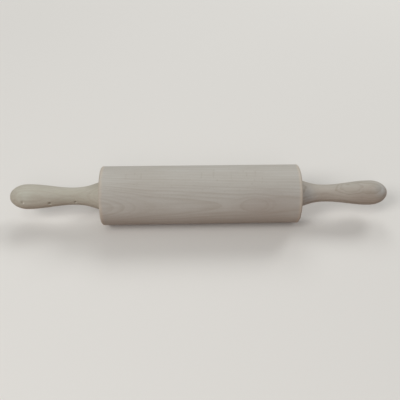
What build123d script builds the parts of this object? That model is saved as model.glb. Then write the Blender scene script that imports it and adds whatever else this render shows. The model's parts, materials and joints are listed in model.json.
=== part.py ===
from build123d import *
import math
import os

# A turned wooden rolling pin. The barrel runs on two ball bearings round a steel rod, and the two
# handles are screwed onto the rod's ends. Millimetres. +X runs along the pin and +Z is up.
# The origin is on the table, under the middle of the barrel.

# Barrel, one turned piece of beech
barrel_length = 200.0
barrel_radius = 30.0
barrel_chamfer = 1.3
barrel_rim_round = 0.6

# Handles, each one turned piece of beech
handle_length = 91.0
handle_base_radius = 14.4
handle_neck_radius = 8.8
handle_bulge_radius = 12.7
handle_tip_radius = 4.0
handle_base_round = 0.5
handle_tip_round = 1.0
handle_gap = 1.2

# Places along a handle, as shares of its length from the base
flare_place_share = 0.12
neck_place_share = 0.30
bulge_place_share = 0.81

# Radius at the flare, as a share of the way from the neck's to the base's, and the base's slope
flare_radius_share = 0.38
base_slope_share = -0.26

# Axle rod, with a thread at each end
rod_radius = 4.0
rod_end_chamfer = 0.8
rod_setback = 1.0
thread_pitch = 1.25
thread_depth = 0.55

# Threaded insert in each handle, with a coarse outer thread and a driving slot
insert_radius = 6.0
insert_length = 17.0
insert_recess = 0.5
insert_chamfer = 0.5
insert_thread_pitch = 3.0
insert_thread_depth = 0.8
insert_slot_width = 1.6
insert_slot_depth = 2.0
insert_hole_spare = 2.0

# Deep groove ball bearing, its rings, balls, cage and shields
bearing_radius = 11.0
bearing_width = 7.0
bearing_recess = 1.0
ball_radius = 1.984
ball_count = 7
shoulder_share = 0.73
race_edge_round = 0.3
cage_wall = 0.7
cage_mouth_share = 0.45
shield_thickness = 0.3
shield_setback = 0.1
shield_grip = 0.5

# Retaining ring that keeps the bearing from sliding inwards along the rod
ring_thickness = 0.8
ring_width = 1.3
ring_groove_depth = 0.2
ring_gap_width = 1.6
ring_ear_radius = 1.25
ring_ear_hole_radius = 0.55
ring_ear_angle = 26

# Clearances
seat_clearance = 0.01
rolling_clearance = 0.03
pocket_clearance = 0.08
running_clearance = 0.15
cage_clearance = 0.35
ring_groove_clearance = 0.05
washer_clearance = 0.1
ring_sweep_clearance = 1.2
cut_overrun = 1.0

# Places along the pin, measured from its middle
barrel_end = barrel_length / 2
bearing_outer_face = barrel_end - bearing_recess
bearing_middle = bearing_outer_face - bearing_width / 2
bearing_inner_face = bearing_outer_face - bearing_width
handle_start = barrel_end + handle_gap
handle_end = handle_start + handle_length
insert_start = handle_start + insert_recess
insert_end = insert_start + insert_length
rod_end = insert_end - rod_setback

# Radii that follow from the ones above
pitch_radius = (rod_radius + bearing_radius) / 2
groove_radius = ball_radius + rolling_clearance
inner_shoulder_radius = pitch_radius - shoulder_share * ball_radius
outer_shoulder_radius = pitch_radius + shoulder_share * ball_radius
ring_inner_radius = rod_radius - ring_groove_depth
ring_outer_radius = ring_inner_radius + ring_width
ring_ear_place = ring_outer_radius + ring_ear_radius / 2
barrel_bore_radius = ring_ear_place + ring_ear_radius + ring_sweep_clearance

# Points of a handle's outline, as place along the pin and radius. The dome is part of an ellipse
# that is cut off square at the tip.
flare_place = handle_start + flare_place_share * handle_length
neck_place = handle_start + neck_place_share * handle_length
bulge_place = handle_start + bulge_place_share * handle_length
flare_radius = handle_neck_radius + flare_radius_share * (handle_base_radius - handle_neck_radius)
base_point = (handle_start, handle_base_radius)
flare_point = (flare_place, flare_radius)
neck_point = (neck_place, handle_neck_radius)
bulge_point = (bulge_place, handle_bulge_radius)
base_slope = (1, base_slope_share)
level = (1, 0)
tip_angle = math.degrees(math.asin(handle_tip_radius / handle_bulge_radius))
dome_reach = (handle_end - bulge_place) / math.cos(math.radians(tip_angle))

axle_height = barrel_radius
axle_line = Axis((0, 0, axle_height), (1, 0, 0))

os.makedirs("parts", exist_ok=True)


def profile_plane(side):
    # Holds the axle. Its x runs from the pin's middle towards one end, its y is the radius.
    return Plane(origin=(0, 0, axle_height), x_dir=(side, 0, 0), z_dir=(0, 0, side))


def facing_out(side, distance):
    # Lies across the axle at a distance from the middle and faces that end of the pin.
    return Plane(origin=(side * distance, 0, axle_height), x_dir=(0, side, 0), z_dir=(side, 0, 0))


def facing_in(side, distance):
    return Plane(origin=(side * distance, 0, axle_height), x_dir=(0, -side, 0), z_dir=(-side, 0, 0))


def write(piece, name):
    piece.part.label = name
    export_step(piece.part, f"parts/{name}.step")


def v_grooves(start, pitch, depth, radius, count):
    # Square cutters standing on a corner, whose lower halves cut V grooves into a turned surface.
    places = [(start + pitch * number, radius) for number in range(count)]
    with Locations(*places):
        Rectangle(depth * math.sqrt(2), depth * math.sqrt(2), rotation=45)


# Barrel: a cylinder with chamfered, softened rims, bored through and counterbored for the bearings
with BuildPart() as barrel:
    with BuildSketch(facing_out(1, -barrel_end)):
        Circle(barrel_radius)
    extrude(amount=barrel_length)
    chamfer(barrel.edges().filter_by(GeomType.CIRCLE), length=barrel_chamfer)
    fillet(barrel.edges().filter_by(GeomType.CIRCLE), radius=barrel_rim_round)
    with Locations(facing_out(-1, barrel_end), facing_out(1, barrel_end)):
        CounterBoreHole(
            radius=barrel_bore_radius,
            counter_bore_radius=bearing_radius + seat_clearance,
            counter_bore_depth=barrel_end - bearing_inner_face,
        )
write(barrel, "barrel")

# Axle rod: grooved for the two retaining rings and threaded at both ends
thread_length = rod_end - insert_start
thread_turns = int(thread_length / thread_pitch)
with BuildPart() as axle_rod:
    with BuildSketch(facing_out(1, -rod_end)):
        Circle(rod_radius)
    extrude(amount=2 * rod_end)
    chamfer(axle_rod.edges().filter_by(GeomType.CIRCLE), length=rod_end_chamfer)
    for side in (-1, 1):
        with BuildSketch(facing_in(side, bearing_inner_face)):
            Circle(rod_radius + cut_overrun)
            Circle(ring_inner_radius, mode=Mode.SUBTRACT)
        extrude(amount=ring_thickness + 2 * ring_groove_clearance, mode=Mode.SUBTRACT)
        with BuildSketch(profile_plane(side)):
            v_grooves(insert_start, thread_pitch, thread_depth, rod_radius, thread_turns)
        revolve(axis=axle_line, mode=Mode.SUBTRACT)
write(axle_rod, "axle_rod")

for side, side_name in ((-1, "left"), (1, "right")):
    # Handle: flared base, slim neck, full bulge and a domed tip, drilled for its insert
    with BuildPart() as handle:
        with BuildSketch(profile_plane(side)):
            with BuildLine():
                flare = Spline(base_point, flare_point, neck_point, tangents=(base_slope, level))
                Spline(neck_point, bulge_point, tangents=(level, level))
                dome = EllipticalCenterArc(
                    (bulge_place, 0),
                    dome_reach,
                    handle_bulge_radius,
                    start_angle=tip_angle,
                    arc_size=90 - tip_angle,
                )
                Polyline(dome @ 0, (handle_end, 0), (handle_start, 0), flare @ 0)
            make_face()
        revolve(axis=axle_line)
        turned_edges = handle.edges().filter_by(GeomType.CIRCLE).sort_by(SortBy.RADIUS)
        fillet(turned_edges[-1], radius=handle_base_round)
        fillet(turned_edges[0], radius=handle_tip_round)
        with Locations(facing_in(side, handle_start)):
            Hole(
                radius=insert_radius + seat_clearance,
                depth=insert_recess + insert_length + insert_hole_spare,
            )
    write(handle, f"{side_name}_handle")

    # Threaded insert: a brass sleeve with a coarse thread outside and a slot across its mouth
    insert_turns = int((insert_length - insert_slot_depth) / insert_thread_pitch)
    with BuildPart() as insert:
        with BuildSketch(facing_out(side, insert_start)):
            Circle(insert_radius)
            Circle(rod_radius + seat_clearance, mode=Mode.SUBTRACT)
        extrude(amount=insert_length)
        chamfer(
            insert.edges().filter_by(GeomType.CIRCLE).group_by(SortBy.RADIUS)[-1],
            length=insert_chamfer,
        )
        with BuildSketch(profile_plane(side)):
            v_grooves(
                insert_start + insert_slot_depth + insert_thread_depth,
                insert_thread_pitch,
                insert_thread_depth,
                insert_radius,
                insert_turns,
            )
        revolve(axis=axle_line, mode=Mode.SUBTRACT)
        with BuildSketch(facing_out(side, insert_start)):
            Rectangle(2 * insert_radius, insert_slot_width)
        extrude(amount=insert_slot_depth, mode=Mode.SUBTRACT)
    write(insert, f"{side_name}_threaded_insert")

    # Thrust washer: spaces the handle off the bearing's inner ring and leaves the running gap
    with BuildPart() as washer:
        with BuildSketch(facing_out(side, bearing_outer_face)):
            Circle(inner_shoulder_radius - washer_clearance)
            Circle(rod_radius + washer_clearance, mode=Mode.SUBTRACT)
        extrude(amount=handle_start - bearing_outer_face)
    write(washer, f"{side_name}_thrust_washer")

    # Retaining ring: an open spring ring in the rod's groove, with two drilled ears for the pliers
    with BuildPart() as ring:
        with BuildSketch(facing_in(side, bearing_inner_face)):
            Circle(ring_outer_radius)
            for angle in (90 - ring_ear_angle, 90 + ring_ear_angle):
                with PolarLocations(ring_ear_place, 1, start_angle=angle):
                    Circle(ring_ear_radius)
                    Circle(ring_ear_hole_radius, mode=Mode.SUBTRACT)
            Circle(ring_inner_radius, mode=Mode.SUBTRACT)
            Rectangle(
                ring_gap_width,
                2 * ring_ear_place,
                align=(Align.CENTER, Align.MIN),
                mode=Mode.SUBTRACT,
            )
        extrude(amount=ring_thickness)
    write(ring, f"{side_name}_retaining_ring")

    # Inner race: sits on the rod, with the balls' groove round its outside
    race_middle = (bearing_middle, pitch_radius)
    with BuildPart() as inner_race:
        with BuildSketch(profile_plane(side)) as inner_section:
            with Locations((bearing_middle, rod_radius + seat_clearance)):
                Rectangle(
                    bearing_width,
                    inner_shoulder_radius - rod_radius - seat_clearance,
                    align=(Align.CENTER, Align.MIN),
                )
            fillet(inner_section.vertices().group_by(Axis.Y)[0], radius=race_edge_round)
            with Locations(race_middle):
                Circle(groove_radius, mode=Mode.SUBTRACT)
        revolve(axis=axle_line)
    write(inner_race, f"{side_name}_inner_race")

    # Outer race: pressed into the barrel's end, with the balls' groove and a seat for each shield
    shield_seat_depth = shield_setback + shield_thickness
    shield_seat_radius = outer_shoulder_radius + shield_grip
    with BuildPart() as outer_race:
        with BuildSketch(profile_plane(side)) as outer_section:
            with Locations((bearing_middle, bearing_radius)):
                Rectangle(
                    bearing_width,
                    bearing_radius - outer_shoulder_radius,
                    align=(Align.CENTER, Align.MAX),
                )
            fillet(outer_section.vertices().group_by(Axis.Y)[-1], radius=race_edge_round)
            with Locations(race_middle):
                Circle(groove_radius, mode=Mode.SUBTRACT)
        revolve(axis=axle_line)
        with Locations(facing_out(side, bearing_outer_face), facing_in(side, bearing_inner_face)):
            Hole(radius=shield_seat_radius, depth=shield_seat_depth)
    write(outer_race, f"{side_name}_outer_race")

    # Shields: thin rings that close both sides of the bearing and turn with its outer race
    shield_planes = {
        "outer": facing_in(side, bearing_outer_face - shield_setback),
        "inner": facing_out(side, bearing_inner_face + shield_setback),
    }
    for place_name, shield_plane in shield_planes.items():
        with BuildPart() as shield:
            with BuildSketch(shield_plane):
                Circle(shield_seat_radius - seat_clearance)
                Circle(inner_shoulder_radius + running_clearance, mode=Mode.SUBTRACT)
            extrude(amount=shield_thickness)
        write(shield, f"{side_name}_{place_name}_shield")

    # Ball cage: a crown ring between the races, with a round pocket for each ball
    cage_length = ball_radius + pocket_clearance + cage_wall + cage_mouth_share * ball_radius
    with BuildPart() as cage:
        with BuildSketch(facing_out(side, bearing_middle + cage_mouth_share * ball_radius)):
            Circle(outer_shoulder_radius - cage_clearance)
            Circle(inner_shoulder_radius + cage_clearance, mode=Mode.SUBTRACT)
        extrude(amount=-cage_length)
        with Locations(facing_out(side, bearing_middle)):
            with PolarLocations(pitch_radius, ball_count, start_angle=90):
                Sphere(ball_radius + pocket_clearance, mode=Mode.SUBTRACT)
    write(cage, f"{side_name}_ball_cage")

    # Balls, numbered round the cage from the top
    for number in range(ball_count):
        ball_angle = 90 + number * 360 / ball_count
        with BuildPart() as ball:
            with Locations(facing_out(side, bearing_middle)):
                with PolarLocations(pitch_radius, 1, start_angle=ball_angle):
                    Sphere(ball_radius)
        write(ball, f"{side_name}_ball_{number + 1}")
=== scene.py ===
import json
import math

import bmesh
import bpy
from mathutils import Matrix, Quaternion, Vector


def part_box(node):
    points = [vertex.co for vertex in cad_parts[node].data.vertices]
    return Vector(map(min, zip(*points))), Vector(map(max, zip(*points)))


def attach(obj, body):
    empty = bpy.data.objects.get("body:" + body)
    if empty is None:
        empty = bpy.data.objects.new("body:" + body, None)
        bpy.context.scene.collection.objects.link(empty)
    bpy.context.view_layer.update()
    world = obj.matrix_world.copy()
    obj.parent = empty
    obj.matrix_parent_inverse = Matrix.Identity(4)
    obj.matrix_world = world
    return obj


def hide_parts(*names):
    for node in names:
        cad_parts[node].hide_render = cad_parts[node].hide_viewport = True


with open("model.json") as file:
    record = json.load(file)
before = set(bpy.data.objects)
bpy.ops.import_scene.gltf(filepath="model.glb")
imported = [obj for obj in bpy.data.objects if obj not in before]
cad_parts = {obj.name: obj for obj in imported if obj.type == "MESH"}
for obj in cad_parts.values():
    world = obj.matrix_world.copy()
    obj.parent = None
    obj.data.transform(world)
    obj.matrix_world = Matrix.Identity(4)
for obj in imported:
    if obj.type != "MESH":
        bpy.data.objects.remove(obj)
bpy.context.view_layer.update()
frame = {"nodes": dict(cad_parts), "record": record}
nodes = frame["nodes"]
mm = 0.001
crispAngle = math.radians(34)  # edges sharper than this stay crisp


def middleOf(node):
    low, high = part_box(node)
    return (low + high) / 2


axleHeight = middleOf("axle_rod").z
print("frame loaded,", len(nodes), "nodes")


# Small helpers for editing by hand

def onlySelect(piece):
    bpy.ops.object.select_all(action="DESELECT")
    piece.select_set(True)
    bpy.context.view_layer.objects.active = piece


def openEdit(piece):
    onlySelect(piece)
    bpy.ops.object.mode_set(mode="EDIT")
    bpy.ops.mesh.select_all(action="DESELECT")


def closeEdit():
    bpy.ops.object.mode_set(mode="OBJECT")


def pick(piece, kind, wanted):
    # kind is verts, edges or faces
    bpy.ops.mesh.select_mode(type={"verts": "VERT", "edges": "EDGE", "faces": "FACE"}[kind])
    bpy.ops.mesh.select_all(action="DESELECT")
    shape = bmesh.from_edit_mesh(piece.data)
    for part in getattr(shape, kind):
        if wanted(part):
            part.select_set(True)
    shape.select_flush_mode()
    bmesh.update_edit_mesh(piece.data)


def fromAxle(place):
    return math.hypot(place.y, place.z - axleHeight)


def near(value, wanted, slack=0.02 * mm):
    return abs(value - wanted) < slack


def standsAt(corner, place, slack=0.01 * mm):
    return (corner.co - place).length < slack


def keepGroup(piece, name, wanted):
    pick(piece, "verts", wanted)
    bpy.ops.object.vertex_group_assign_new()
    piece.vertex_groups.active.name = name


def pressIn(piece, group, waves):
    # only ever inwards, so the piece stays inside its CAD solid
    cloud = bpy.data.textures.new(piece.name + "_waves", "CLOUDS")
    cloud.noise_scale = waves["size"]
    cloud.noise_depth = waves["detail"]
    push = piece.modifiers.new("waves", "DISPLACE")
    push.texture = cloud
    push.texture_coords = "LOCAL"
    push.vertex_group = group
    push.mid_level = 1.0
    push.strength = waves["depth"]
    onlySelect(piece)
    bpy.ops.object.modifier_apply(modifier=push.name)


pitCuts = {
    "reach": 1.9,  # the first cut takes the faces within this many radii of the pit's place
    "nearer": 0.3,  # each finer cut stays this much nearer
}


def pressPit(piece, pit):
    # the faces round the place are cut finer, and then a group of corners sinks along its normals
    place = Vector(pit["place"]) * mm
    reach = pit["radius"] * mm
    openEdit(piece)
    for finer in range(pit["finer"]):
        within = reach * (pitCuts["reach"] - pitCuts["nearer"] * finer)
        pick(piece, "faces", lambda face: (face.calc_center_median() - place).length < within)
        bpy.ops.mesh.subdivide(number_cuts=1)
    closeEdit()
    group = piece.vertex_groups.new(name="pit")
    for corner in piece.data.vertices:
        share = 1 - (corner.co - place).length / reach
        if share > 0:
            group.add([corner.index], min(1.0, share * pit["steep"]), "REPLACE")
    sink = piece.modifiers.new("sink", "DISPLACE")
    sink.vertex_group = group.name
    sink.mid_level = 0.0
    sink.strength = -pit["depth"] * mm
    onlySelect(piece)
    bpy.ops.object.modifier_apply(modifier=sink.name)
    piece.vertex_groups.remove(piece.vertex_groups["pit"])


def tidyMesh(piece, joinWithin=0.002 * mm):
    openEdit(piece)
    bpy.ops.mesh.select_all(action="SELECT")
    bpy.ops.mesh.remove_doubles(threshold=joinWithin)
    bpy.ops.mesh.normals_make_consistent(inside=False)
    closeEdit()
    bpy.ops.object.shade_smooth_by_angle(angle=crispAngle)


def seat(piece, body, node):
    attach(piece, body)
    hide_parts(node)


# Node helpers

def newMaterial(name):
    material = bpy.data.materials.new(name)
    material.use_nodes = True
    return material, material.node_tree, material.node_tree.nodes["Principled BSDF"]


def addNode(tree, kind, **settings):
    made = tree.nodes.new("ShaderNode" + kind)
    for name, value in settings.items():
        setattr(made, name, value)
    return made


def feed(tree, socket, source):
    if isinstance(source, bpy.types.NodeSocket):
        tree.links.new(source, socket)
    else:
        socket.default_value = source


def reckon(tree, operation, *sources):
    made = addNode(tree, "Math", operation=operation)
    for socket, source in zip(made.inputs, sources):
        feed(tree, socket, source)
    return made.outputs[0]


def lengthOf(tree, first, second):
    squares = [reckon(tree, "MULTIPLY", side, side) for side in (first, second)]
    return reckon(tree, "SQRT", reckon(tree, "ADD", *squares))


def vectorOf(tree, x, y, z):
    made = addNode(tree, "CombineXYZ")
    for socket, source in zip(made.inputs, (x, y, z)):
        feed(tree, socket, source)
    return made.outputs[0]


def partsOf(tree, vector):
    made = addNode(tree, "SeparateXYZ")
    tree.links.new(vector, made.inputs[0])
    return made.outputs


def stretch(tree, place, scale):
    made = addNode(tree, "VectorMath", operation="MULTIPLY")
    feed(tree, made.inputs[0], place)
    made.inputs[1].default_value = scale
    return made.outputs[0]


def gapTo(tree, place, spot):
    made = addNode(tree, "VectorMath", operation="DISTANCE")
    feed(tree, made.inputs[0], place)
    made.inputs[1].default_value = spot
    return made.outputs["Value"]


def noiseOf(tree, place, scale, detail=2.0, roughness=0.5):
    # scale is per metre along each axis
    made = addNode(tree, "TexNoise")
    feed(tree, made.inputs["Vector"], stretch(tree, place, scale))
    made.inputs["Scale"].default_value = 1.0
    made.inputs["Detail"].default_value = detail
    made.inputs["Roughness"].default_value = roughness
    return made.outputs["Fac"]


def rangeOf(tree, value, start, end, low=0.0, high=1.0):
    made = addNode(tree, "MapRange", interpolation_type="SMOOTHSTEP")
    feed(tree, made.inputs["Value"], value)
    for name, number in (("From Min", start), ("From Max", end), ("To Min", low), ("To Max", high)):
        made.inputs[name].default_value = number
    return made.outputs["Result"]


def mixTone(tree, share, first, second):
    # a Mix node takes its two colours at sockets 6 and 7, and gives the mixed one at 2
    made = addNode(tree, "Mix", data_type="RGBA")
    for number, source in ((0, share), (6, first), (7, second)):
        feed(tree, made.inputs[number], source)
    return made.outputs[2]


def washOver(tree, colour, wash, share, most):
    # lays the wash over the colour, where share says and at most this strongly
    return mixTone(tree, reckon(tree, "MULTIPLY", share, most), colour, wash)


def mixShaders(tree, share, first, second):
    made = addNode(tree, "MixShader")
    for socket, source in zip(made.inputs, (share, first.outputs[0], second.outputs[0])):
        tree.links.new(source, socket)
    return made.outputs[0]


def bumpOf(tree, height, strength, distance):
    made = addNode(tree, "Bump")
    feed(tree, made.inputs["Height"], height)
    made.inputs["Strength"].default_value = strength
    made.inputs["Distance"].default_value = distance
    return made.outputs["Normal"]


def roundAxle(tree):
    # a place as its distance along the axle, its distance from it, and the plain place
    place = addNode(tree, "TexCoord").outputs["Object"]
    along, aside, up = partsOf(tree, place)
    return along, lengthOf(tree, aside, reckon(tree, "SUBTRACT", up, axleHeight)), place


def nearTo(tree, place, spot, most):
    # rises from 0 at the spot's reach to the most at its middle, over an ellipse drawn out
    # along the axle
    shorten = (1 / spot["longer"], 1.0, 1.0)
    gap = gapTo(tree, stretch(tree, place, shorten), Vector(spot["place"]) * mm * Vector(shorten))
    return rangeOf(tree, gap, spot["reach"] * mm, 0.0, 0.0, most)


def tone(red, green, blue):
    # a colour as a picture editor shows it, 0 to 255
    def plain(value):
        value /= 255
        return value / 12.92 if value <= 0.04045 else ((value + 0.055) / 1.055) ** 2.4
    return (plain(red), plain(green), plain(blue), 1.0)


# Camera, floor and light

roomTone = tone(226, 223, 217)  # the floor and the backdrop, as the camera sees them

cameraSetup = {
    "azimuth": -2.57,  # degrees, seen slightly from the left
    "elevation": 44.55,
    "distance": 0.575,
    "lens": 50.4,  # mm
    "sensor": 36,
    "clip": (0.01, 60),
    "roll": 1.09,
    "aim": (-0.0004, -0.0039, 0.026),
}


def placeCamera(setup):
    turn, lift = math.radians(setup["azimuth"]), math.radians(setup["elevation"])
    back = Vector((math.sin(turn) * math.cos(lift), -math.cos(turn) * math.cos(lift),
                   math.sin(lift)))
    bpy.ops.object.camera_add(location=Vector(setup["aim"]) + back * setup["distance"])
    camera = bpy.context.object
    camera.name = "view_of_the_pin"
    camera.data.lens = setup["lens"]
    camera.data.sensor_width = setup["sensor"]
    camera.data.clip_start, camera.data.clip_end = setup["clip"]
    camera.rotation_mode = "QUATERNION"
    roll = Quaternion((0, 0, 1), math.radians(setup["roll"]))
    camera.rotation_quaternion = (-back).to_track_quat("-Z", "Y") @ roll
    bpy.context.scene.camera = camera


floorSetup = {
    "size": 16.0,
    "cloud": tone(205, 202, 196),
    "cloudShare": 0.05,
    "cloudScale": (3, 3, 3),
    "bounce": tone(162, 134, 118),  # what the pin's underside gets
    "sweep": (0.45, 1.1),  # metres out from the pin, over which the floor turns into the backdrop
    "roughness": 0.95,
    "gloss": 0.1,
}


def seenShare(tree):
    # 1 for rays from the camera and for reflections, 0 for the rays that only carry light
    rays = addNode(tree, "LightPath")
    seen = reckon(tree, "MAXIMUM", rays.outputs["Is Camera Ray"], rays.outputs["Is Glossy Ray"])
    return reckon(tree, "MAXIMUM", seen, rays.outputs["Is Transmission Ray"])


def layFloor(setup):
    bpy.ops.mesh.primitive_plane_add(size=setup["size"], location=(0, 0, 0))
    floor = bpy.context.object
    floor.name = "floor"
    material, tree, shader = newMaterial("floor_paint")
    place = addNode(tree, "TexCoord").outputs["Object"]
    cloudy = noiseOf(tree, place, setup["cloudScale"])
    shown = washOver(tree, roomTone, setup["cloud"], cloudy, setup["cloudShare"])
    feed(tree, shader.inputs["Base Color"], mixTone(tree, seenShare(tree), setup["bounce"], shown))
    shader.inputs["Roughness"].default_value = setup["roughness"]
    shader.inputs["Specular IOR Level"].default_value = setup["gloss"]
    outwards = addNode(tree, "VectorMath", operation="LENGTH")
    tree.links.new(place, outwards.inputs[0])
    distant = reckon(tree, "MULTIPLY", rangeOf(tree, outwards.outputs["Value"], *setup["sweep"]),
                     seenShare(tree))
    backdrop = addNode(tree, "Emission")
    backdrop.inputs["Color"].default_value = roomTone
    tree.links.new(mixShaders(tree, distant, shader, backdrop),
                   tree.nodes["Material Output"].inputs["Surface"])
    floor.data.materials.append(material)


lightSetup = {
    "dome": 0.26,  # light from all round
    "domeTint": (1.0, 1.0, 1.0, 1.0),
    "lamps": (
        {"name": "key_left_front", "toward": (-0.7, -0.6, 0.9), "distance": 2.0, "size": 0.8,
         "level": 0.25, "tint": (1.0, 1.0, 1.0)},
        {"name": "window_behind", "toward": (0.0, 0.9, 0.9), "distance": 2.0, "size": 0.9,
         "level": 0.13, "tint": (0.97, 1.0, 1.02)},
        {"name": "window_right", "toward": (0.7, 0.7, 0.9), "distance": 2.0, "size": 0.8,
         "level": 0.17, "tint": (0.98, 1.0, 1.02)},
        {"name": "fill_front", "toward": (0.0, -1.0, 0.8), "distance": 2.0, "size": 0.9,
         "level": 0.07, "tint": (1.06, 1.0, 1.04)},
        {"name": "above_front", "toward": (-0.2, -0.33, 1.0), "distance": 2.0, "size": 0.6,
         "level": 0.07, "tint": (0.98, 1.0, 1.0)},
    ),
}


def lightScene(setup):
    world = bpy.data.worlds.new("room")
    world.use_nodes = True
    bpy.context.scene.world = world
    tree = world.node_tree
    tree.nodes.clear()
    ends, lit, shown = (addNode(tree, kind) for kind in ("OutputWorld", "Background", "Background"))
    lit.inputs["Color"].default_value = setup["domeTint"]
    lit.inputs["Strength"].default_value = setup["dome"]
    shown.inputs["Color"].default_value = roomTone
    tree.links.new(mixShaders(tree, seenShare(tree), lit, shown), ends.inputs[0])
    for lamp in setup["lamps"]:
        toward = Vector(lamp["toward"]).normalized()
        bpy.ops.object.light_add(type="AREA", location=toward * lamp["distance"])
        light = bpy.context.object
        light.name = lamp["name"]
        light.rotation_euler = (-toward).to_track_quat("-Z", "Y").to_euler()
        light.data.shape = "DISK"
        light.data.size = lamp["size"]
        light.data.color = lamp["tint"]
        # level is what the lamp adds on a level surface, where 1 renders a colour as it is written
        light.data.energy = lamp["level"] * math.pi ** 2 * lamp["distance"] ** 2 / toward.z


placeCamera(cameraSetup)
layFloor(floorSetup)
lightScene(lightSetup)
bpy.context.scene.view_settings.view_transform = "Standard"
print("camera, floor and light placed")


# Beech: growth rings round a pith that lies outside the piece, ray flecks, fibres and fine pores.
# Scales are per metre, and each range gives where a pattern starts and where it is full.

beechGrain = {
    "unevenScale": (170, 1, 1),  # how often the rings change their width, going out from the pith
    "unevenRings": 1.6,
    "ringRise": (0.35, 0.93),  # late wood darkens over each ring
    "ringFall": (1.0, 0.95),  # and ends sharply where the next one starts
    "faintestRing": 0.35,
    "fineScale": (90, 2600, 2600),
    "patchRange": (0.3, 0.7),
    "poreScale": (420, 6200, 6200),
    "poreRange": (0.6, 0.72),
    "fleckRange": (0.34, 0.12),
    "fleckChance": (0.25, 0.7),
    "shadeRange": (0.2, 0.7, 0.6, 1.0),
    "endRange": (0.75, 1.0),
    "streakRange": (0.42, 0.75),
    "paleRange": (0.5, 0.2),
    "rubScale": (140, 140, 140),
    "rubRange": (0.25, 0.6, 0.45, 1.0),
    "rubCore": 0.4,  # share of a worn edge's width that is rubbed fully
    "markScale": (1500, 1500, 1500),
    "markRagged": 0.8,
    "markRange": (1.4, 0.6),
    "markSunk": 0.7,
    "streakRough": 0.16,
    "fleckRough": -0.1,
    "streakHeight": 0.6,
    "fineHeight": 0.5,
    "poreHeight": -0.7,
    "ringHeight": 0.25,
    "relief": 0.25 * mm,
}


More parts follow.
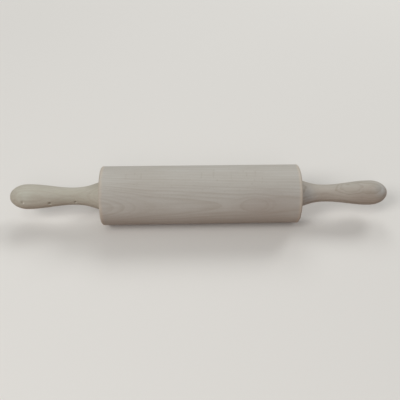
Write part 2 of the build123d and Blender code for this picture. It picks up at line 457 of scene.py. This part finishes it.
def growBeech(name, look):
    grain = beechGrain
    material, tree, shader = newMaterial(name)
    alongAxle, out, place = roundAxle(tree)
    log = addNode(tree, "Mapping", vector_type="TEXTURE")
    feed(tree, log.inputs["Vector"], place)
    log.inputs["Location"].default_value = look["pith"]
    log.inputs["Rotation"].default_value = [math.radians(angle) for angle in look["lean"]]
    along, across, up = partsOf(tree, log.outputs[0])
    fromPith = lengthOf(tree, across, up)
    around = reckon(tree, "MULTIPLY", reckon(tree, "ARCTAN2", up, across), look["pithDistance"])

    # growth rings, wavy and of uneven width
    drift = noiseOf(tree, place, look["waveScale"])
    wavy = reckon(tree, "MULTIPLY_ADD", drift, look["waveDepth"], fromPith)
    for swirl in look["swirls"]:
        wavy = reckon(tree, "ADD", wavy, nearTo(tree, place, swirl, swirl["lift"] * mm))
    evenCount = reckon(tree, "DIVIDE", wavy, look["ringWidth"])
    uneven = noiseOf(tree, vectorOf(tree, wavy, 0.0, 0.0), grain["unevenScale"], detail=1)
    count = reckon(tree, "MULTIPLY_ADD", uneven, grain["unevenRings"], evenCount)
    phase = reckon(tree, "FRACT", count)
    late = reckon(tree, "MULTIPLY", rangeOf(tree, phase, *grain["ringRise"]),
                  rangeOf(tree, phase, *grain["ringFall"]))
    ringChance = addNode(tree, "TexWhiteNoise", noise_dimensions="1D")
    feed(tree, ringChance.inputs["W"], reckon(tree, "FLOOR", count))
    clear = rangeOf(tree, ringChance.outputs["Value"], 0.0, 1.0, grain["faintestRing"])
    lateShare = reckon(tree, "MULTIPLY", late, clear)

    # fibres in lengthwise streaks, and broad patches where the log was a little darker
    streaks = noiseOf(tree, place, look["streakScale"], detail=4, roughness=0.62)
    fine = noiseOf(tree, place, grain["fineScale"], detail=3, roughness=0.6)
    patches = noiseOf(tree, place, look["patchScale"], detail=3, roughness=0.55)
    pores = rangeOf(tree, noiseOf(tree, place, grain["poreScale"], detail=1), *grain["poreRange"])

    # ray flecks: spindles a couple of millimetres long, seen end on as fine radial lines
    cells = addNode(tree, "TexVoronoi", feature="F1")
    inLog = vectorOf(tree, along, fromPith, around)
    feed(tree, cells.inputs["Vector"], stretch(tree, inLog, look["fleckScale"]))
    cells.inputs["Scale"].default_value = 1.0
    spindle = rangeOf(tree, cells.outputs["Distance"], *grain["fleckRange"])
    chance = addNode(tree, "SeparateColor")
    tree.links.new(cells.outputs["Color"], chance.inputs[0])
    kept = rangeOf(tree, chance.outputs[0], *grain["fleckChance"])
    flecks = reckon(tree, "MULTIPLY", spindle, kept)

    darker = rangeOf(tree, patches, *grain["patchRange"])
    colour = mixTone(tree, darker, look["ground"], look["patch"])
    # soft spots washed towards their own tone: on the barrel a darker patch of the wood, on the
    # handles painted shade and painted highlights
    for toneAndLightSpot in look["tonesAndPaintedLight"]:
        colour = washOver(tree, colour, toneAndLightSpot["tone"], nearTo(tree, place, toneAndLightSpot, toneAndLightSpot["share"]),
                          rangeOf(tree, patches, *grain["shadeRange"]))

    # end grain is a little darker than the sides, and its rings stand out more
    facing = partsOf(tree, addNode(tree, "TexCoord").outputs["Normal"])
    endOn = rangeOf(tree, reckon(tree, "ABSOLUTE", facing[0]), *grain["endRange"])
    colour = washOver(tree, colour, look["endGrain"], endOn, look["endShare"])
    ringShare = reckon(tree, "MULTIPLY_ADD", endOn, look["endRings"], look["ringShare"])
    lateTone = mixTone(tree, endOn, look["lateWood"], look["endLate"])
    colour = washOver(tree, colour, lateTone, lateShare, ringShare)

    for kind, share in (("streak", rangeOf(tree, streaks, *grain["streakRange"])),
                        ("pale", rangeOf(tree, streaks, *grain["paleRange"])),
                        ("fleck", flecks), ("pore", pores)):
        colour = washOver(tree, colour, look[kind], share, look[kind + "Share"])

    # edges rubbed pale by use, a little more in one place than in another
    rub = rangeOf(tree, noiseOf(tree, place, grain["rubScale"], detail=3), *grain["rubRange"])
    for edge in look["wornEdges"]:
        sideways = reckon(tree, "SUBTRACT", reckon(tree, "ABSOLUTE", alongAxle), edge["along"])
        outwards = reckon(tree, "SUBTRACT", out, edge["radius"])
        close = rangeOf(tree, lengthOf(tree, sideways, outwards), edge["width"],
                        edge["width"] * grain["rubCore"])
        colour = washOver(tree, colour, edge["tone"], reckon(tree, "MULTIPLY", close, rub),
                          edge["share"])

    # the floors of small pits, darkened, and over a shallow ding painted shade with a painted
    # highlight beside it
    for mark in look["marks"]:
        centre, stainAndPaintedLightReach = Vector(mark["place"]) * mm, mark["stainAndPaintedLightReach"] * mm
        inwards = Vector((0, -centre.y, axleHeight - centre.z)).normalized()
        gap = gapTo(tree, place, centre + inwards * mark["depth"] * grain["markSunk"] * mm)
        ragged = reckon(tree, "MULTIPLY_ADD", noiseOf(tree, place, grain["markScale"]),
                        stainAndPaintedLightReach * grain["markRagged"], gap)
        stainAndPaintedLight = rangeOf(tree, ragged, *(stainAndPaintedLightReach * share for share in grain["markRange"]))
        colour = washOver(tree, colour, mark["tone"], stainAndPaintedLight, mark["share"])

    feed(tree, shader.inputs["Base Color"], colour)
    rough = reckon(tree, "MULTIPLY_ADD", streaks, grain["streakRough"], look["roughness"])
    rough = reckon(tree, "MULTIPLY_ADD", flecks, grain["fleckRough"], rough)
    feed(tree, shader.inputs["Roughness"], rough)
    shader.inputs["Specular IOR Level"].default_value = look["gloss"]

    height = reckon(tree, "MULTIPLY", streaks, grain["streakHeight"])
    for layer, lift in ((fine, grain["fineHeight"]), (pores, grain["poreHeight"]),
                        (lateShare, grain["ringHeight"]),
                        (noiseOf(tree, place, look["sandingScale"]), look["sandingShare"])):
        height = reckon(tree, "MULTIPLY_ADD", layer, lift, height)
    feed(tree, shader.inputs["Normal"], bumpOf(tree, height, look["bump"], grain["relief"]))
    return material


# Barrel

barrelShape = {
    "sides": 256,
    "slack": 0.01 * mm,  # keeps the round face just inside the CAD solid's
    "seatRadius": 11.01 * mm,
    "seatDepth": 8.0 * mm,
    "boreRadius": 8.175 * mm,
    "chamfer": 1.3 * mm,
    "rimRound": 0.25 * mm,
    "rimSteps": 4,
    "slices": 12,  # cuts along the round face, and then as many along each slice
    "cutLonger": (0.5, 0.025),  # shares of the length: first the whole is cut, then each slice
    "plainRim": 0.1 * mm,  # left without waves beside each rim
    "waves": {"size": 0.03, "detail": 1, "depth": 0.12 * mm},
}
barrelWood = {
    "pith": (0.0, -0.061, 0.053),
    "lean": (0, -0.9, -2.3),
    "pithDistance": 0.065,
    "ringWidth": 2.9 * mm,
    "swirls": ({"place": (-105.0, -28.0, 40.0), "longer": 1.8, "reach": 38.0, "lift": -9.0},
               {"place": (54.0, -27.8, 41.5), "longer": 1.5, "reach": 15.0, "lift": -5.0}),
    "tonesAndPaintedLight": ({"place": (70.0, -27.0, 42.0), "longer": 2.0, "reach": 24.0, "share": 0.5,
                "tone": tone(152, 137, 127)},),
    "marks": (),
    "waveScale": (9, 30, 30),
    "waveDepth": 0.006,
    "streakScale": (16, 420, 420),
    "patchScale": (12, 34, 34),
    "fleckScale": (270, 40, 850),
    "sandingScale": (900, 60, 60),
    "sandingShare": 0.12,
    "ground": tone(183, 180, 172),
    "patch": tone(177, 172, 163),
    "lateWood": tone(159, 149, 136),
    "ringShare": 0.36,
    "streak": tone(166, 158, 147),
    "streakShare": 0.24,
    "pale": tone(197, 195, 189),
    "paleShare": 0.22,
    "fleck": tone(150, 139, 124),
    "fleckShare": 0.24,
    "pore": tone(140, 127, 112),
    "poreShare": 0.2,
    "endGrain": tone(155, 145, 130),
    "endShare": 0.55,
    "endLate": tone(118, 103, 85),
    "endRings": 0.1,  # how much more the rings show there
    "wornEdges": ({"along": 99.6 * mm, "radius": 29.6 * mm, "width": 4.0 * mm, "share": 0.45,
                   "tone": tone(198, 183, 163)},),
    "roughness": 0.56,
    "gloss": 0.3,
    "bump": 0.3,
}


def turnBarrel(shape):
    low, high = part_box("barrel")
    length, radius = high.x - low.x, (high.y - low.y) / 2 - shape["slack"]
    end = length / 2
    bpy.ops.object.select_all(action="DESELECT")
    bpy.ops.mesh.primitive_cylinder_add(vertices=shape["sides"], radius=radius, depth=length,
                                        end_fill_type="NGON", location=(0, 0, axleHeight),
                                        rotation=(0, math.pi / 2, 0))
    piece = bpy.context.object
    piece.name = "turned_barrel"
    bpy.ops.object.transform_apply(location=True, rotation=True, scale=True)
    openEdit(piece)

    # a seat for the bearing in each end, sunk from the whole round face that is left there
    for side in (-1, 1):
        pick(piece, "faces", lambda face: len(face.verts) == shape["sides"]
             and face.normal.x * side > 0)
        bpy.ops.mesh.inset(thickness=radius - shape["seatRadius"])
        bpy.ops.mesh.extrude_region_move(
            TRANSFORM_OT_translate={"value": (-side * shape["seatDepth"], 0, 0)})
        bpy.ops.mesh.inset(thickness=shape["seatRadius"] - shape["boreRadius"])

    # the bore between them
    pick(piece, "faces", lambda face: len(face.verts) == shape["sides"])
    bpy.ops.mesh.bridge_edge_loops()

    def onRim(edge, rims):
        # the round face's long edges also end at a rim on both sides, so only short ones count
        return edge.calc_length() < end and any(
            all(near(abs(corner.co.x), x) and near(fromAxle(corner.co), r)
                for corner in edge.verts) for x, r in rims)

    # rims, chamfered and then softened
    outerRim = ((end, radius),)
    chamferRims = ((end, radius - shape["chamfer"]), (end - shape["chamfer"], radius))
    for rims, width, steps in ((outerRim, shape["chamfer"], 1),
                               (chamferRims, shape["rimRound"], shape["rimSteps"])):
        pick(piece, "edges", lambda edge: onRim(edge, rims))
        bpy.ops.mesh.bevel(offset=width, segments=steps, affect="EDGES", offset_type="OFFSET")

    # slices along the round face
    for longer in shape["cutLonger"]:
        pick(piece, "edges", lambda edge: edge.calc_length() > longer * length
             and all(near(fromAxle(corner.co), radius) for corner in edge.verts))
        bpy.ops.mesh.subdivide(number_cuts=shape["slices"])
    wavesEnd = end - shape["chamfer"] - shape["rimRound"] - shape["plainRim"]
    keepGroup(piece, "round_face", lambda corner: near(fromAxle(corner.co), radius)
              and abs(corner.co.x) < wavesEnd)
    closeEdit()
    pressIn(piece, "round_face", shape["waves"])
    tidyMesh(piece)
    return piece


barrel = turnBarrel(barrelShape)
barrel.data.materials.append(growBeech("barrel_beech", barrelWood))
seat(barrel, "barrel", "barrel")
print("barrel turned,", len(barrel.data.polygons), "faces")


# Handles. Places run from the handle's base towards its tip, with the reach of each point's two
# curve handles, all in mm.

handleShape = {
    "start": 101.2,
    "outline": (
        {"at": (0.0, 14.4), "before": (0.0, 14.4), "after": (3.976, 13.366)},
        {"at": (10.92, 10.928), "before": (7.357, 11.95), "after": (16.056, 9.455)},
        {"at": (27.3, 8.8), "before": (21.571, 8.8), "after": (44.07, 8.8)},
        {"at": (73.71, 12.7), "before": (56.94, 12.7), "after": (81.923, 12.7)},
        {"at": (91.0, 4.0), "before": (88.643, 8.951), "after": (91.0, 4.0)},
    ),
    "pointsPerSpan": 44,
    "sides": 176,
    "baseRound": 0.5,
    "tipRound": 0.6,
    "roundSteps": 5,
    "holeRadius": 6.01,
    "holeDepth": 19.5,
    "grip": (1.0, 90.0),  # the stretch that gets waves
    "thinnest": 0.5,  # wood round the hole; what lies further out is the outside
    "waves": {"size": 0.016, "detail": 1, "depth": 0.14 * mm},
}
handleWood = {
    "pithDistance": 0.05,
    "ringWidth": 2.1 * mm,
    "waveScale": (12, 45, 45),
    "waveDepth": 0.006,
    "streakScale": (24, 620, 620),
    "patchScale": (16, 50, 50),
    "fleckScale": (300, 50, 950),
    "sandingScale": (1500, 90, 90),
    "sandingShare": 0.2,
    "lateWood": tone(158, 143, 126),
    "ringShare": 0.34,
    "streak": tone(165, 154, 140),
    "streakShare": 0.24,
    "pale": tone(199, 193, 183),
    "paleShare": 0.22,
    "fleck": tone(150, 137, 120),
    "fleckShare": 0.24,
    "pore": tone(140, 126, 109),
    "poreShare": 0.2,
    "endGrain": tone(160, 147, 129),
    "endShare": 0.5,
    "endLate": tone(128, 112, 93),
    "endRings": 0.1,
    "wornEdges": ({"along": 101.4 * mm, "radius": 14.2 * mm, "width": 1.0 * mm, "share": 0.4,
                   "tone": tone(203, 193, 177)},
                  {"along": 191.6 * mm, "radius": 4.2 * mm, "width": 2.2 * mm, "share": 0.35,
                   "tone": tone(200, 193, 178)}),
    "roughness": 0.53,
    "gloss": 0.3,
    "bump": 0.35,
}
# what each handle has of its own, beside the wood that both share
handleSides = (
    {"name": "left", "side": -1, "pith": (0.0, -0.034, 0.068), "lean": (0, -1.5, 2.2),
     "ground": tone(185, 181, 168), "patch": tone(177, 173, 158),
     "swirls": (),
     # painted shade over the top of the bulge, and a painted highlight on the front of the bulge's
     # outer end
     "tonesAndPaintedLight": ({"place": (-150.0, 4.0, 42.0), "longer": 6.0, "reach": 11.0, "share": 0.32,
                 "tone": tone(160, 155, 140)},
                {"place": (-175.0, -8.5, 38.0), "longer": 1.0, "reach": 12.0, "share": 0.7,
                 "tone": tone(193, 195, 182)}),
     "marks": (
         {"place": (-151.8, -10.77, 30.2), "radius": 2.2, "depth": 0.8, "steep": 1.6, "finer": 3,
          "stainAndPaintedLightReach": 1.75, "share": 0.8, "tone": tone(104, 96, 78)},
         {"place": (-126.4, -8.8, 29.9), "radius": 1.9, "depth": 0.7, "steep": 1.6, "finer": 3,
          "stainAndPaintedLightReach": 1.45, "share": 0.75, "tone": tone(104, 95, 76)},
         # a shallow ding under painted shade, and beside it a painted highlight
         {"place": (-178.6, -11.92, 33.3), "radius": 2.3, "depth": 0.45, "steep": 1.8, "finer": 2,
          "stainAndPaintedLightReach": 2.1, "share": 0.6, "tone": tone(134, 124, 108)},
         {"place": (-177.1, -12.3, 32.63), "radius": 0.9, "depth": 0.1, "steep": 1.4, "finer": 2,
          "stainAndPaintedLightReach": 1.1, "share": 0.7, "tone": tone(226, 221, 212)},
     )},
    {"name": "right", "side": 1, "pith": (0.0, -0.014, 0.072), "lean": (0, 1.2, -0.8),
     "ringWidth": 3.4 * mm, "waveScale": (80, 120, 120),
     "lateWood": tone(140, 129, 112), "ringShare": 0.48,
     "ground": tone(178, 172, 161), "patch": tone(173, 164, 153),
     "swirls": ({"place": (151.0, 4.5, 42.0), "longer": 0.85, "reach": 23.0, "lift": -9.0},),
     # painted shade over the outer end and over the top of the bulge, and painted highlights on the
     # flare by the barrel and at the tip
     "tonesAndPaintedLight": ({"place": (172.0, -11.0, 35.0), "longer": 1.5, "reach": 20.0, "share": 0.5,
                 "tone": tone(152, 135, 122)},
                {"place": (150.0, 4.0, 42.0), "longer": 6.0, "reach": 11.0, "share": 0.4,
                 "tone": tone(150, 149, 140)},
                {"place": (109.0, -10.0, 34.0), "longer": 1.0, "reach": 15.0, "share": 0.9,
                 "tone": tone(190, 190, 186)},
                {"place": (184.0, -5.0, 39.0), "longer": 1.0, "reach": 12.0, "share": 0.8,
                 "tone": tone(181, 183, 181)}),
     "marks": ()},
)


def turnHandle(shape, hand):
    side = hand["side"]

    def spot(place):
        return Vector((side * (shape["start"] + place[0]) * mm, 0, axleHeight + place[1] * mm))

    bpy.ops.object.select_all(action="DESELECT")
    bpy.ops.curve.primitive_bezier_curve_add(location=(0, 0, 0))
    piece = bpy.context.object
    piece.name = hand["name"] + "_turned_handle"
    line = piece.data.splines[0]
    line.bezier_points.add(len(shape["outline"]) - len(line.bezier_points))
    line.resolution_u = shape["pointsPerSpan"]
    for point, wanted in zip(line.bezier_points, shape["outline"]):
        point.handle_left_type = point.handle_right_type = "FREE"
        point.co, point.handle_left, point.handle_right = map(
            spot, (wanted["at"], wanted["before"], wanted["after"]))
    bpy.ops.object.convert(target="MESH")

    # the outline is closed down to the axle at both ends, which leaves the hole for the insert
    openEdit(piece)
    base, tip = shape["outline"][0]["at"], shape["outline"][-1]["at"]

    def pull(start, ends):
        pick(piece, "verts", lambda corner: standsAt(corner, spot(start)))
        for end in ends:
            bpy.ops.mesh.extrude_region_move(
                TRANSFORM_OT_translate={"value": spot(end) - spot(start)})
            start = end

    pull(tip, ((tip[0], 0.0),))
    pull(base, ((0.0, shape["holeRadius"]), (shape["holeDepth"], shape["holeRadius"]),
                (shape["holeDepth"], 0.0)))
    for place, width in ((base, shape["baseRound"]), (tip, shape["tipRound"])):
        pick(piece, "verts", lambda corner: standsAt(corner, spot(place)))
        bpy.ops.mesh.bevel(offset=width * mm, segments=shape["roundSteps"], affect="VERTICES")
    bpy.ops.mesh.select_all(action="SELECT")
    bpy.ops.mesh.spin(steps=shape["sides"], angle=2 * math.pi, center=(0, 0, axleHeight),
                      axis=(1, 0, 0))
    closeEdit()
    tidyMesh(piece)
    openEdit(piece)
    gripStart, gripEnd = ((shape["start"] + place) * mm for place in shape["grip"])
    keepGroup(piece, "grip", lambda corner: gripStart < abs(corner.co.x) < gripEnd
              and fromAxle(corner.co) > (shape["holeRadius"] + shape["thinnest"]) * mm)
    closeEdit()
    pressIn(piece, "grip", shape["waves"])
    for pit in hand["marks"]:
        pressPit(piece, pit)
    bpy.ops.object.shade_smooth_by_angle(angle=crispAngle)
    return piece


for hand in handleSides:
    handle = turnHandle(handleShape, hand)
    handle.data.materials.append(growBeech(hand["name"] + "_handle_beech", {**handleWood, **hand}))
    seat(handle, "axle", hand["name"] + "_handle")
    print(hand["name"], "handle turned,", len(handle.data.polygons), "faces")


# The pieces inside keep their CAD shape and get their finishes here

metalGrain = {
    "broader": 9,  # the broad lines are this many times wider than the fine ones
    "cloudRange": (0.4, 0.72),
    "lineRange": (0.35, 0.75),
    "gritRange": (0.62, 0.74),
    "relief": 0.03 * mm,
}


def turnMetal(name, look):
    # fine lines run round the axle, as a lathe or a grinding wheel leaves them
    grain = metalGrain
    material, tree, shader = newMaterial(name)
    along, out, place = roundAxle(tree)
    fine, coarse = look["lines"], look["lines"] / grain["broader"]
    turned = vectorOf(tree, along, out, 0.0)
    lines = noiseOf(tree, turned, (fine, fine, 1), detail=3, roughness=0.7)
    broad = noiseOf(tree, turned, (coarse, coarse, 1), detail=1)
    clouds = noiseOf(tree, place, (look["clouds"],) * 3, detail=4, roughness=0.6)
    grit = noiseOf(tree, place, (look["grit"],) * 3)
    colour = look["ground"]
    for over, layer, kind, wash in ((clouds, "cloudRange", "cloudShare", "cloud"),
                                    (lines, "lineRange", "lineShare", "line"),
                                    (grit, "gritRange", "gritShare", "line")):
        share = rangeOf(tree, over, *grain[layer], 0.0, look[kind])
        colour = mixTone(tree, share, colour, look[wash])
    feed(tree, shader.inputs["Base Color"], colour)
    rough = reckon(tree, "MULTIPLY_ADD", lines, look["roughSpread"], look["roughness"])
    rough = reckon(tree, "MULTIPLY_ADD", clouds, look["roughSpread"], rough)
    feed(tree, shader.inputs["Roughness"], rough)
    shader.inputs["Metallic"].default_value = 1.0
    height = reckon(tree, "MULTIPLY_ADD", grit, look["gritShare"],
                    reckon(tree, "ADD", lines, broad))
    feed(tree, shader.inputs["Normal"], bumpOf(tree, height, look["bump"], grain["relief"]))
    return material


plasticGrain = {
    "fibreScale": (3000, 900, 3000),
    "matteScale": (9000, 9000, 9000),
    "cloudRange": (0.35, 0.7),
    "fibreRange": (0.55, 0.75),
    "roughSpread": 0.18,
    "gloss": 0.45,
    "matteHeight": 0.5,
    "relief": 0.02 * mm,
}


def mouldPlastic(name, look):
    grain = plasticGrain
    material, tree, shader = newMaterial(name)
    place = addNode(tree, "TexCoord").outputs["Object"]
    clouds = noiseOf(tree, place, (look["clouds"],) * 3, detail=3)
    fibres = noiseOf(tree, place, grain["fibreScale"], roughness=0.6)
    matte = noiseOf(tree, place, grain["matteScale"])
    colour = mixTone(tree, rangeOf(tree, clouds, *grain["cloudRange"]), look["ground"],
                     look["cloud"])
    fibreShare = rangeOf(tree, fibres, *grain["fibreRange"], 0.0, look["fibreShare"])
    feed(tree, shader.inputs["Base Color"], mixTone(tree, fibreShare, colour, look["fibre"]))
    rough = reckon(tree, "MULTIPLY_ADD", clouds, grain["roughSpread"], look["roughness"])
    feed(tree, shader.inputs["Roughness"], rough)
    shader.inputs["Specular IOR Level"].default_value = grain["gloss"]
    height = reckon(tree, "MULTIPLY_ADD", matte, grain["matteHeight"], fibres)
    feed(tree, shader.inputs["Normal"], bumpOf(tree, height, look["bump"], grain["relief"]))
    return material


metalLooks = {
    "rod_steel": {
        "lines": 5200, "clouds": 90, "grit": 2600,
        "ground": tone(190, 190, 192), "cloud": tone(162, 160, 158), "line": tone(142, 142, 145),
        "cloudShare": 0.6, "lineShare": 0.4, "gritShare": 0.25,
        "roughness": 0.2, "roughSpread": 0.16, "bump": 0.3},
    "race_steel": {
        "lines": 9000, "clouds": 160, "grit": 5200,
        "ground": tone(196, 197, 200), "cloud": tone(176, 176, 176), "line": tone(150, 151, 155),
        "cloudShare": 0.5, "lineShare": 0.3, "gritShare": 0.15,
        "roughness": 0.14, "roughSpread": 0.12, "bump": 0.2},
    "shield_steel": {
        "lines": 3600, "clouds": 230, "grit": 3800,
        "ground": tone(180, 181, 183), "cloud": tone(156, 155, 152), "line": tone(134, 134, 136),
        "cloudShare": 0.6, "lineShare": 0.35, "gritShare": 0.3,
        "roughness": 0.26, "roughSpread": 0.18, "bump": 0.3},
    "ball_steel": {
        "lines": 1500, "clouds": 420, "grit": 8200,
        "ground": tone(206, 207, 210), "cloud": tone(190, 190, 193), "line": tone(172, 173, 177),
        "cloudShare": 0.5, "lineShare": 0.15, "gritShare": 0.12,
        "roughness": 0.06, "roughSpread": 0.07, "bump": 0.06},
    "spring_steel": {
        "lines": 2400, "clouds": 300, "grit": 4200,
        "ground": tone(62, 61, 62), "cloud": tone(86, 82, 78), "line": tone(112, 108, 104),
        "cloudShare": 0.7, "lineShare": 0.3, "gritShare": 0.5,
        "roughness": 0.38, "roughSpread": 0.2, "bump": 0.4},
    "insert_brass": {
        "lines": 4400, "clouds": 170, "grit": 3000,
        "ground": tone(206, 172, 102), "cloud": tone(168, 132, 76), "line": tone(150, 118, 66),
        "cloudShare": 0.7, "lineShare": 0.4, "gritShare": 0.3,
        "roughness": 0.22, "roughSpread": 0.2, "bump": 0.35},
}
plasticLooks = {
    "washer_nylon": {
        "clouds": 220,
        "ground": tone(226, 223, 212), "cloud": tone(212, 207, 192), "fibre": tone(198, 190, 172),
        "fibreShare": 0.25, "roughness": 0.38, "bump": 0.25},
    "cage_nylon": {
        "clouds": 260,
        "ground": tone(204, 186, 146), "cloud": tone(188, 166, 122), "fibre": tone(222, 210, 180),
        "fibreShare": 0.4, "roughness": 0.34, "bump": 0.3},
}
finishes = {slot: turnMetal(slot + "_finish", look) for slot, look in metalLooks.items()}
finishes |= {slot: mouldPlastic(slot + "_finish", look) for slot, look in plasticLooks.items()}
for row in frame["record"]["subparts"]:
    if row["material_slot"] in finishes:
        for place in nodes[row["node"]].material_slots:
            place.material = finishes[row["material_slot"]]
print(len(finishes), "finishes given to the pieces inside")
